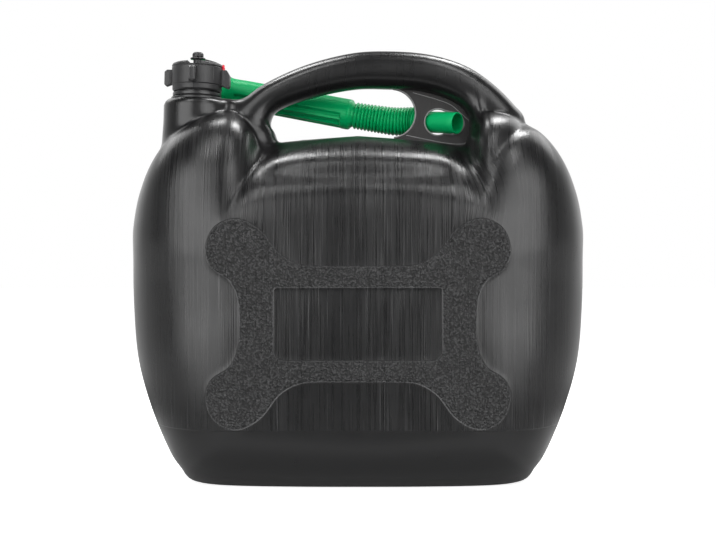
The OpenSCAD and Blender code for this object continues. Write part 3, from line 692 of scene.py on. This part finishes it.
# Cap
def cap():
    profile = [
        (CAP_BORE_R, CEILING_Z), (CAP_BORE_R, SKIRT_Z), (SKIRT_R - 1.4, SKIRT_Z), (SKIRT_R, SKIRT_Z + 1.6),
        (SKIRT_R, DRUM_Z - 0.5), (DRUM_R, DRUM_Z), (DRUM_R, CAP_H - 5.0), (DRUM_R - 0.5, CAP_H - 4.7),
        (DRUM_R - 0.5, CAP_H - 4.2), (DRUM_R, CAP_H - 3.9),
        (DRUM_R, CAP_H - 3.4), (DRUM_R - 0.8, CAP_H - 1.6), (DRUM_R - 3.4, CAP_H - 0.4),
        (DRUM_R - 7, CAP_H), (0, CAP_H),
    ]
    verts, faces = lathe([(0, CEILING_Z)] + round_profile(profile, 0.5), 128)
    drum = add_mesh("cap_drum", verts, faces, CAP_MAT, None, NECK)
    spin = NECK @ Matrix.Rotation(CAP_TURN, 4, "Z")
    cutters = []
    for i, (lo, hi) in enumerate((
        ((-NOTCH_W / 2, -DRUM_R - 5, CAP_H - NOTCH_D), (NOTCH_W / 2, 8, CAP_H + 6)),
        ((22.3, -2.8, 21), (28, 2.8, CAP_H + 6)),
    )):
        c = [(x, y, z) for x in (lo[0], hi[0]) for y in (lo[1], hi[1]) for z in (lo[2], hi[2])]
        f = [(0, 1, 3, 2), (4, 6, 7, 5), (0, 4, 5, 1), (2, 3, 7, 6), (0, 2, 6, 4), (1, 5, 7, 3)]
        o = add_mesh(f"cut_{i}", c, f, CAP_MAT, None, spin, smooth=False)
        m = drum.modifiers.new(f"cut_{i}", "BOOLEAN")
        m.operation, m.object, m.solver = "DIFFERENCE", o, "EXACT"
        cutters.append(o)
    bake(drum, cutters)
    parts = [drum]

    def lug(points, w, turn, cut=None, cut_w=5.6):
        v, f = slab(points, w, spin @ Matrix.Rotation(math.radians(turn), 4, "Z"))
        o = add_mesh("lug", v, f, CAP_MAT, None, None, smooth=True)
        if cut:
            cv, cf = slab(cut, cut_w, spin @ Matrix.Rotation(math.radians(turn), 4, "Z"))
            c = add_mesh("cut", cv, cf, CAP_MAT, None, None, smooth=False)
            m = o.modifiers.new("cut", "BOOLEAN")
            m.operation, m.object, m.solver = "DIFFERENCE", c, "EXACT"
            bake(o, [c])
        b = bevel(o, 0.45, 2, 30)
        bake(b, [])
        parts.append(o)

    def side(lo, hi):
        return [(LUG_ROOT, lo + 2.5), (LUG_R - 2, lo), (LUG_R, lo + 2),
                (LUG_R, hi - 2), (LUG_R - 2.5, hi), (LUG_ROOT, hi)]

    lug(side(11.8, 27.8), 5.4, 180)
    for turn in (90, 270):
        groove = [(LUG_R - 1.1, 9), (LUG_R + 3, 9), (LUG_R + 3, 30), (LUG_R - 1.1, 30)]
        lug(side(13.2, 28.2), 6.4, turn, cut=groove, cut_w=1.7)
        low, high = (SKIRT_R - 1, 8.2), (SKIRT_R + 0.9, 14.4)
        lug([low, (high[0], low[1]), high, (low[0], high[1])], 1.8, turn)
    lug([(LUG_ROOT, 13.5), (LUG_R - 1.5, 10.8), (LUG_R, 12.3), (LUG_R, 22.5),
         (28.2, 27.8), (LUG_ROOT, 27.8)], 10, 0,
        cut=[(25.1, 5), (28.3, 5), (28.3, 40), (22.3, 40), (22.3, 21), (25.1, 21)])
    # joint line of the inner cap on the drum's right front
    lug([(DRUM_R - 0.8, 15), (DRUM_R + 0.22, 15.4), (DRUM_R + 0.22, 29), (DRUM_R - 0.8, 29.6)], 0.9, -42)
    # button for the strap: boss, stem and head
    stem = [(0, CAP_H - 4.6), (BOSS_R, CAP_H - 4.6), (BOSS_R, EYE_Z - 0.3), (STEM_R, EYE_Z - 0.3),
            (STEM_R, BUTTON_Z + 0.4), (0, BUTTON_Z + 0.4)]
    head = [(0, BUTTON_Z), (4.7, BUTTON_Z), (5.3, BUTTON_Z + 0.8), (5.3, BUTTON_Z + 3.4),
            (3.9, BUTTON_Z + 5), (0, BUTTON_Z + 5)]
    for name, points, r in (("stem", stem, 0.25), ("head", head, 0.6)):
        v, f = lathe(round_profile(points, r), 48)
        parts.append(add_mesh(name, v, f, CAP_MAT, None, NECK))
    for turn in (0, 90):
        half = [(5.1, BUTTON_Z + 1.7), (4.0, BUTTON_Z + 4.3), (2.0, BUTTON_Z + 5.2)]
        v, f = slab([(-half[0][0], half[0][1])] + half + [(-x, y) for x, y in half[:0:-1]], 0.8,
                    spin @ Matrix.Rotation(math.radians(turn + 45), 4, "Z"))
        parts.append(add_mesh("rib", v, f, CAP_MAT, None, None))
    for p in parts:
        sharpen(p, 38)
    joined = join(parts, "screw_cap")
    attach(joined, "cap")
    return joined


def bake(obj, others):
    bpy.context.view_layer.update()
    mesh = bpy.data.meshes.new_from_object(obj.evaluated_get(bpy.context.evaluated_depsgraph_get()))
    obj.modifiers.clear()
    obj.data = mesh
    for o in others:
        bpy.data.objects.remove(o)


def join(objs, name):
    for o in bpy.context.selected_objects:
        o.select_set(False)
    for o in objs:
        o.select_set(True)
    bpy.context.view_layer.objects.active = objs[0]
    bpy.ops.object.join()
    obj = bpy.context.view_layer.objects.active
    obj.name = name
    obj.data.name = name
    return obj


screw_cap = cap()
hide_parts("cap")
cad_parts["cap_seal"].data.materials.clear()
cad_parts["cap_seal"].data.materials.append(SEAL_MAT)

# Lock lever
spin = NECK @ Matrix.Rotation(CAP_TURN, 4, "Z")
lever_points = [(25.6, 12.5), (27.8, 12.5), (27.8, 21.5), (27.1, 25), (26.2, 28), (25.7, 31), (25.6, 33.2),
                (23.6, 33.2), (23.65, 30), (23.8, 28), (24.6, 25), (25.6, 22)]
v, f = slab(lever_points, 5.0, spin)
lever = add_mesh("lever", v, f, RED_MAT, None, None)
bake(bevel(lever, 0.35, 3, 30), [])
pin, pf = lathe(round_profile([(0, -3.7), (1.2, -3.7), (1.2, 3.7), (0, 3.7)], 0.2), 32)
studs = add_mesh("studs", pin, pf, RED_MAT, None,
                 spin @ Matrix.Translation((26.7, 0, 17)) @ Matrix.Rotation(math.radians(90), 4, "X"))
lever = join([lever, studs], "lever")
sharpen(lever, 40)
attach(lever, "lock_lever")
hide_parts("lock_lever")


# Strap
def strap():
    turn = NECK @ Matrix.Rotation(math.radians(60), 4, "Z")
    mid = EYE_Z + EYE_T / 2
    line = smooth_line([(5.5, mid), (16, mid + 0.1), (26, mid - 0.3), (31.5, mid - 1.8), (33.6, 32.7),
                        (34.0, 26), (34.0, 12), (33.6, 7.4), (31.6, 5.0), (27.5, 4.4), (22.2, 4.4)], 6)
    half_w, half_t, r = 3.0, EYE_T / 2, 0.35
    verts = []
    m = len(line)
    outline = []
    for sx, sy, start in ((1, 1, 0), (-1, 1, 90), (-1, -1, 180), (1, -1, 270)):
        for k in range(4):
            a = start + 30 * k
            outline.append((sx * (half_w - r) + r * math.cos(math.radians(a)),
                            sy * (half_t - r) + r * math.sin(math.radians(a))))
    for i in range(m):
        a, b = line[max(i - 1, 0)], line[min(i + 1, m - 1)]
        t = (b - a) / np.linalg.norm(b - a)
        nrm = np.array((-t[1], t[0]))
        for q in outline:
            verts.append((line[i][0] + nrm[0] * q[1], q[0], line[i][1] + nrm[1] * q[1]))
    band = add_mesh("band", verts, rings_to_faces(m, len(outline), True), STRAP_MAT, None, turn)
    rings = []
    for inner, outer, z0, z1 in ((STEM_R + 0.3, 7.2, EYE_Z, EYE_Z + EYE_T), (21.15, 22.9, 2.6, 5.8)):
        middle = (inner, (z0 + z1) / 2)
        prof = [middle, (inner, z0), (outer, z0), (outer, z1), (inner, z1), middle]
        prof = round_profile(prof, 0.7)
        vs = [(p[0] * math.cos(2 * math.pi * j / 96), p[0] * math.sin(2 * math.pi * j / 96), p[1])
              for p in prof for j in range(96)]
        rings.append(add_mesh("ring", vs, rings_to_faces(len(prof), 96), STRAP_MAT, None, turn))
    for o in [band] + rings:
        sharpen(o, 40)
    obj = join([band] + rings, "cap_strap")
    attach(obj, "strap")
    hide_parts("strap")
    return obj


strap()


# Spout
def spout():
    pipe_end = np.array([-12.7, 36.0, 349.1])
    pipe_dir = np.array([-1, 0.195, 0.209])
    pipe_dir /= np.linalg.norm(pipe_dir)
    pipe_l = 162.0
    bend = smooth_line([pipe_end, pipe_end - pipe_dir * 10, (16.6, 31.8, 343.7), (36, 28, 340.6),
                        TIP_AT - TIP_DIR * 36, TIP_AT - TIP_DIR * 25, TIP_AT], 24)
    runs = np.concatenate([[0], np.cumsum(np.linalg.norm(np.diff(bend, axis=0), axis=1))])
    total = runs[-1]

    def at(s):
        if s < 0:
            return pipe_end + pipe_dir * -s
        if s > total:
            return TIP_AT + TIP_DIR * (s - total)
        return np.array([np.interp(s, runs, bend[:, k]) for k in range(3)])

    pipe_r, foot_r = 14.3, 22.0
    bellows_at, folds = 10.0, 21
    bellows_l = total - bellows_at - 24
    pitch = bellows_l / folds
    # rings: place along the run, radius, depth of the flutes
    foot = [(0, foot_r - 1.0, 0), (0.4, foot_r - 0.3, 0), (1.2, foot_r, 0), (8, foot_r, 0), (16, foot_r, 0),
            (24, foot_r, 0), (29.5, foot_r, 0), (30.6, foot_r - 0.5, 0), (31.2, foot_r - 1.6, 0),
            (33, foot_r - 3, 0), (37, foot_r - 5.2, 0), (41, pipe_r + 0.7, 0), (44, pipe_r, 0),
            (50, pipe_r, 0), (51, pipe_r, 0.5), (52, pipe_r, 1.0)]
    stations = [(place - pipe_l, radius, flute) for place, radius, flute in foot]
    for s in np.linspace(-pipe_l + 58, -2.6, 26):
        stations.append((s, pipe_r + 0.5 * (s + pipe_l) / pipe_l, 1.0))
    stations += [(-2.0, pipe_r + 0.5, 0.95), (-1.5, pipe_r + 0.5, 0.5), (-1.0, pipe_r + 0.5, 0.05),
                 (-0.6, pipe_r + 0.5, 0), (3, pipe_r + 0.5, 0), (5.2, pipe_r + 0.35, 0), (6.0, pipe_r, 0),
                 (7.0, pipe_r - 1.1, 0), (7.9, pipe_r - 2.2, 0), (8.3, 11.7, 0), (9.2, 11.4, 0)]
    per = 12
    for i in range(folds):
        for k in range(per):
            w = (i + k / per) / (folds - 1)
            crest = 13.0 + 1.3 * w
            wave = abs(math.sin(math.pi * k / per))
            stations.append((bellows_at + (i + k / per) * pitch, crest - 2.3 * (1 - wave**0.7), 0))
    tip = [(-24, 1.2), (-23, 1.0), (-22.2, 0.3), (-21.4, 0), (-12, 0), (0, 0), (8, 0), (14.3, 0),
           (14.8, -0.15), (15, -0.5), (15, -0.95), (14.8, -1.25), (14.3, -1.35), (4, -1.4), (-8, -1.4),
           (-22, -1.4)]
    stations += [(total + place, TIP_R + more, 0) for place, more in tip]
    # back along the inside
    stations += [(total - 36, 9.4, 0), (total - 60, 9.2, 0), (bellows_at, 9.0, 0), (-2, pipe_r - 3.2, 0),
                 (44 - pipe_l, pipe_r - 3.2, 0), (32 - pipe_l, foot_r - 4.6, 0),
                 (1 - pipe_l, foot_r - 3, 0), (-pipe_l, foot_r - 2.6, 0)]

    def dent(a):
        """Flutes low on the stiff length: a recess on each side with two ribs in it."""
        a = math.degrees(a) % 360
        a = 540 - a if a > 270 else a
        into = smooth_step(a, 186, 190)
        rib = max(math.exp(-(((a - c) / 4.2) ** 4)) for c in (212, 241, 270))
        return float(into * (1 - 0.8 * rib))

    n = 96
    dents = [dent(2 * math.pi * j / n) for j in range(n)]
    verts = []
    for s, r, f in stations:
        t = at(s + 4.0) - at(s - 4.0)
        t /= np.linalg.norm(t)
        u = np.cross((0, 0, 1), t)
        u /= np.linalg.norm(u)
        v = np.cross(t, u)
        p = at(s)
        for j in range(n):
            a = 2 * math.pi * j / n
            verts.append(p + (r - 1.7 * f * dents[j]) * (math.cos(a) * u + math.sin(a) * v))
    faces = [tuple(reversed(f)) for f in rings_to_faces(len(stations), n, False, True)]
    obj = add_mesh("spout_tube", verts, faces, SPOUT_MAT, "can")
    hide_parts("spout")
    return obj


spout()

# Stage, light and camera
CAMERA_Z, DISTANCE = 196.2, 1190.0


def stage_plane(name, corners, material):
    o = add_mesh(name, corners, [(0, 1, 2, 3)], material, None, smooth=False)
    return o


def floor_material():
    s = Shader("floor_pale")
    away = s.node("ShaderNodeVectorMath", 1, _operation="LENGTH", i0=s.coord)
    colour = s.mix(s.ramp(away, 0.24, 0.5), (0.6, 0.6, 0.6, 1), (0.06, 0.06, 0.06, 1))
    s.put(s.bsdf.inputs["Base Color"], colour)
    s.put(s.bsdf.inputs["Roughness"], 0.9)
    s.put(s.bsdf.inputs["Specular IOR Level"], 0.0)
    behind = s.ramp(s.axis(1), 0.2, 1.5, 0.0, 0.55)
    s.put(s.bsdf.inputs["Emission Color"], (1, 1, 1, 1))
    beside = s.ramp(s.math("ABSOLUTE", s.axis(0)), 0.3, 0.65, 0.0, 0.75)
    s.put(s.bsdf.inputs["Emission Strength"], s.math("MAXIMUM", behind, beside))
    path = s.tree.nodes.new("ShaderNodeLightPath")
    glow = s.node("ShaderNodeEmission", Color=(1, 1, 1, 1), Strength=s.ramp(away, 0.3, 0.8, 0.85, 1.0))
    seen = s.tree.nodes.new("ShaderNodeBsdfDiffuse")
    seen.inputs["Color"].default_value = (0.6, 0.6, 0.6, 1)
    both = s.tree.nodes.new("ShaderNodeAddShader")
    s.tree.links.new(seen.outputs[0], both.inputs[0])
    s.tree.links.new(glow, both.inputs[1])
    mix = s.tree.nodes.new("ShaderNodeMixShader")
    s.tree.links.new(path.outputs["Is Camera Ray"], mix.inputs[0])
    s.tree.links.new(s.bsdf.outputs[0], mix.inputs[1])
    s.tree.links.new(both.outputs[0], mix.inputs[2])
    s.tree.links.new(mix.outputs[0], s.out.inputs[0])
    return s.mat


FLOOR_X, FLOOR_FRONT, FLOOR_BACK = 6000, -3000, 12000
stage_plane("floor", [(-FLOOR_X, FLOOR_FRONT, 0), (FLOOR_X, FLOOR_FRONT, 0),
                      (FLOOR_X, FLOOR_BACK, 0), (-FLOOR_X, FLOOR_BACK, 0)], floor_material())

world = bpy.data.worlds.new("studio")
scene.world = world
world.use_nodes = True
tree = world.node_tree
tree.nodes.clear()
out = tree.nodes.new("ShaderNodeOutputWorld")
path = tree.nodes.new("ShaderNodeLightPath")
dim = tree.nodes.new("ShaderNodeBackground")
dim.inputs[0].default_value = (1, 1, 1, 1)
# the room is dark in front and pale behind, which lights the rims
look = tree.nodes.new("ShaderNodeTexCoord")
parts = tree.nodes.new("ShaderNodeSeparateXYZ")
behind = tree.nodes.new("ShaderNodeMapRange")
tree.links.new(look.outputs["Generated"], parts.inputs[0])
tree.links.new(parts.outputs[1], behind.inputs["Value"])
for key, value in (("From Min", -0.4), ("From Max", 0.9), ("To Min", 0.02), ("To Max", 1.25)):
    behind.inputs[key].default_value = value
lower = tree.nodes.new("ShaderNodeMapRange")
tree.links.new(parts.outputs[2], lower.inputs["Value"])
for key, value in (("From Min", 0.2), ("From Max", 0.7), ("To Min", 1.0), ("To Max", 0.15)):
    lower.inputs[key].default_value = value
shade = tree.nodes.new("ShaderNodeMath")
shade.operation = "MULTIPLY"
tree.links.new(behind.outputs[0], shade.inputs[0])
tree.links.new(lower.outputs[0], shade.inputs[1])
tree.links.new(shade.outputs[0], dim.inputs[1])
white = tree.nodes.new("ShaderNodeBackground")
white.inputs[0].default_value = (1, 1, 1, 1)
white.inputs[1].default_value = 1.0
mix = tree.nodes.new("ShaderNodeMixShader")
tree.links.new(path.outputs["Is Camera Ray"], mix.inputs[0])
tree.links.new(dim.outputs[0], mix.inputs[1])
tree.links.new(white.outputs[0], mix.inputs[2])
tree.links.new(mix.outputs[0], out.inputs[0])


def softbox(name, at, toward, size, power):
    light = bpy.data.lights.new(name, "AREA")
    light.shape = "RECTANGLE"
    light.size, light.size_y = size
    light.energy = power
    o = bpy.data.objects.new(name, light)
    scene.collection.objects.link(o)
    o.location = at
    o.rotation_euler = (Vector(toward) - Vector(at)).to_track_quat("-Z", "Y").to_euler()
    return o


for side, name in ((-1, "left"), (1, "right")):
    softbox(f"box_{name}", (0.85 * side, -1.04, 0.62), (0, 0, 0.4), (1.15, 1.2), 16)
    softbox(f"over_{name}", (0.44 * side, -0.62, 1.36), (0, 0, 0.3), (0.18, 0.6), 3.4)
    softbox(f"above_{name}", (0.38 * side, 0.4, 1.4), (0, 0, 0.3), (0.24, 0.45), 7 + side)
    softbox(f"rear_{name}", (0.95 * side, 0.85, 1.3), (0, 0, 0.3), (0.9, 0.8), 5)
softbox("fill", (0, -2.3, 0.55), (0, 0, 0.2), (1.2, 1.2), 1.0)

cam_data = bpy.data.cameras.new("camera")
cam_data.sensor_width = 36
cam_data.lens = 36 * (DISTANCE / 0.95) / 716
cam = bpy.data.objects.new("camera", cam_data)
scene.collection.objects.link(cam)
cam.location = (0, -DISTANCE * MM, CAMERA_Z * MM)
cam.rotation_euler = (math.radians(90), 0, 0)
scene.camera = cam
scene.view_settings.view_transform = "Standard"
